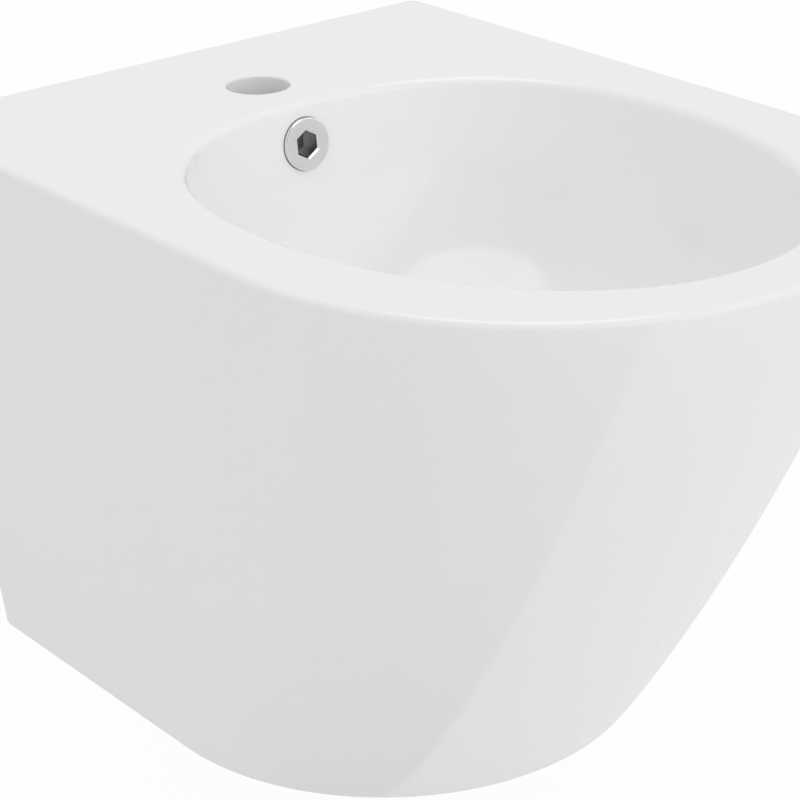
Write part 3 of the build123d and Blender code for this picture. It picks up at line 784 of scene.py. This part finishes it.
zinc = bpy.data.materials.new("zinc_plated_steel")
graph = surface(zinc)
spangle = noise(graph, 150, 4)
shade(graph, {"Metallic": 1.0}, {
    "Base Color": tint(graph, spangle, (0.55, 0.57, 0.60), (0.68, 0.69, 0.70)),
    "Roughness": 0.25 + 0.2 * spangle,
    "Normal": bump(graph, noise(graph, 1000, 2), 0.06, 0.0002),
})
for side, offset in (("left", -90), ("right", 90)):
    hole = Matrix.Translation((offset * mm, 0, 0)) @ BACK
    bush = turned(f"fixing_bush_{side}", white_plastic, [
        (6.3, 0), *arc(10.0, 0.5, 0.5, -90, 0), (10.5, 16), *arc(17.5, 16.5, 0.5, -90, 0),
        *arc(17.2, 19.2, 0.8, 0, 90), (6.3, 20),
    ], 72, hole)
    smooth(bush)
    place(bush, "bidet", "white_plastic", f"fixing_bush_{side}")
    washer = turned(f"fixing_washer_{side}", zinc, [
        (6.3, 20), *arc(14.7, 20.3, 0.3, -90, 0), *arc(14.5, 22.0, 0.5, 0, 90), (6.3, 22.5),
    ], 72, hole)
    smooth(washer)
    place(washer, "bidet", "zinc_plated_steel", f"fixing_washer_{side}")
    wall_nut = nut(f"fixing_nut_{side}", zinc, 9.0, 6.1, 22.5, 32.5, hole, 0.7, 1.75)
    smooth(wall_nut, 25)
    place(wall_nut, "bidet", "zinc_plated_steel", f"fixing_nut_{side}")


# Studio: a white floor below the bidet, soft light that is strongest from the wall's
# side, the front and above, and the surround that the glaze and the chrome mirror.

FLOOR_LEVEL = -315 * mm
FLOOR_WHITENESS = 0.97
floor_paint = bpy.data.materials.new("studio_floor")
graph = surface(floor_paint)
plain = graph.node("ShaderNodeBsdfDiffuse", {}, {"Color": (0.8, 0.8, 0.8, 1)})
white = graph.node("ShaderNodeEmission", {}, {"Color": (1, 1, 1, 1), "Strength": 1.0})
seen = FLOOR_WHITENESS * graph.node("ShaderNodeLightPath", output="Is Camera Ray")
graph.node("ShaderNodeOutputMaterial", {}, {
    "Surface": graph.node("ShaderNodeMixShader", {}, {0: seen, 1: plain, 2: white}),
})
work = bmesh.new()
bmesh.ops.create_grid(work, x_segments=1, y_segments=1, size=12)
bmesh.ops.translate(work, verts=work.verts, vec=(0, 0, FLOOR_LEVEL))
floor = meshed("studio_floor", floor_paint, work)
floor.visible_glossy = False

world = bpy.data.worlds.new("studio")
bpy.context.scene.world = world
world.use_nodes = True
world.node_tree.nodes.clear()
graph = Graph(world.node_tree)
outlook = graph.node("ShaderNodeTexCoord", output="Generated")
x, y, z = (graph.node("ShaderNodeSeparateXYZ", {}, [outlook], axis) for axis in "XYZ")


def ramp(value, low, high):
    """Rises from 0 to 1 as a value goes from low to high."""
    return clamp(graph, (value - low) / (high - low))


# Strength of the light from the right, the left, the wall, the front and above
LIGHT = (0.18, 0.22, 0.74, 0.98, 0.63)
shares = (x, x * -1, y, y * -1, z)
lit = sum((strength * share.math("MAXIMUM", 0.0) for strength, share in zip(LIGHT, shares)), 0)

# The mirrored surround has a darker left half and a lighter right half, is even towards
# the wall, and has a lamp straight above
DARK_HALF = 0.45
LIGHT_HALF = 1.05
WALL_SIDE = 0.85
LAMP = 1.6
above = z > 0
slant = (x - 0.66 * y - 0.8 * z - 0.08) * above + x * (1 - above)
halves = DARK_HALF + (LIGHT_HALF - DARK_HALF) * ramp(slant, -0.02, 0.02)
behind = ramp(y, -0.1, 0.5)
mirrored = halves + (WALL_SIDE - halves) * behind + LAMP * ramp(z, 0.9, 0.94)

camera_ray = graph.node("ShaderNodeLightPath", output="Is Camera Ray")
mirror_ray = graph.node("ShaderNodeLightPath", output="Is Glossy Ray").math(
    "MAXIMUM", graph.node("ShaderNodeLightPath", output="Is Transmission Ray"))
level = lit + (mirrored - lit) * mirror_ray
level = level + (1 - level) * camera_ray
graph.node("ShaderNodeOutputWorld", {}, {
    "Surface": graph.node("ShaderNodeBackground", {}, {"Color": (1, 1, 1, 1), "Strength": level}),
})


# Camera: at the photograph's angle, in front of the bidet at its left and above the
# rim, with a long lens. Its place was solved from the edges of the bidet.

PLACE = (-0.7798, -1.1429, 0.4859)
YAW = 0.6902
PITCH = 0.423
ROLL = 0.01566
FOCAL_PIXELS = 2482
PICTURE_PIXELS = 800
SENSOR = 36
ahead = Vector((sin(YAW) * cos(PITCH), cos(YAW) * cos(PITCH), -sin(PITCH)))
across = ahead.cross(Vector((0, 0, 1))).normalized()
below = ahead.cross(across)
right = cos(ROLL) * across + sin(ROLL) * below
down = cos(ROLL) * below - sin(ROLL) * across
lens = bpy.data.cameras.new("camera")
lens.sensor_width = SENSOR
lens.lens = FOCAL_PIXELS * SENSOR / PICTURE_PIXELS
camera = bpy.data.objects.new("camera", lens)
bpy.context.scene.collection.objects.link(camera)
turned_camera = Matrix((right, -down, -ahead)).transposed().to_4x4()
camera.matrix_world = Matrix.Translation(PLACE) @ turned_camera
bpy.context.scene.camera = camera
bpy.context.scene.view_settings.view_transform = "Standard"
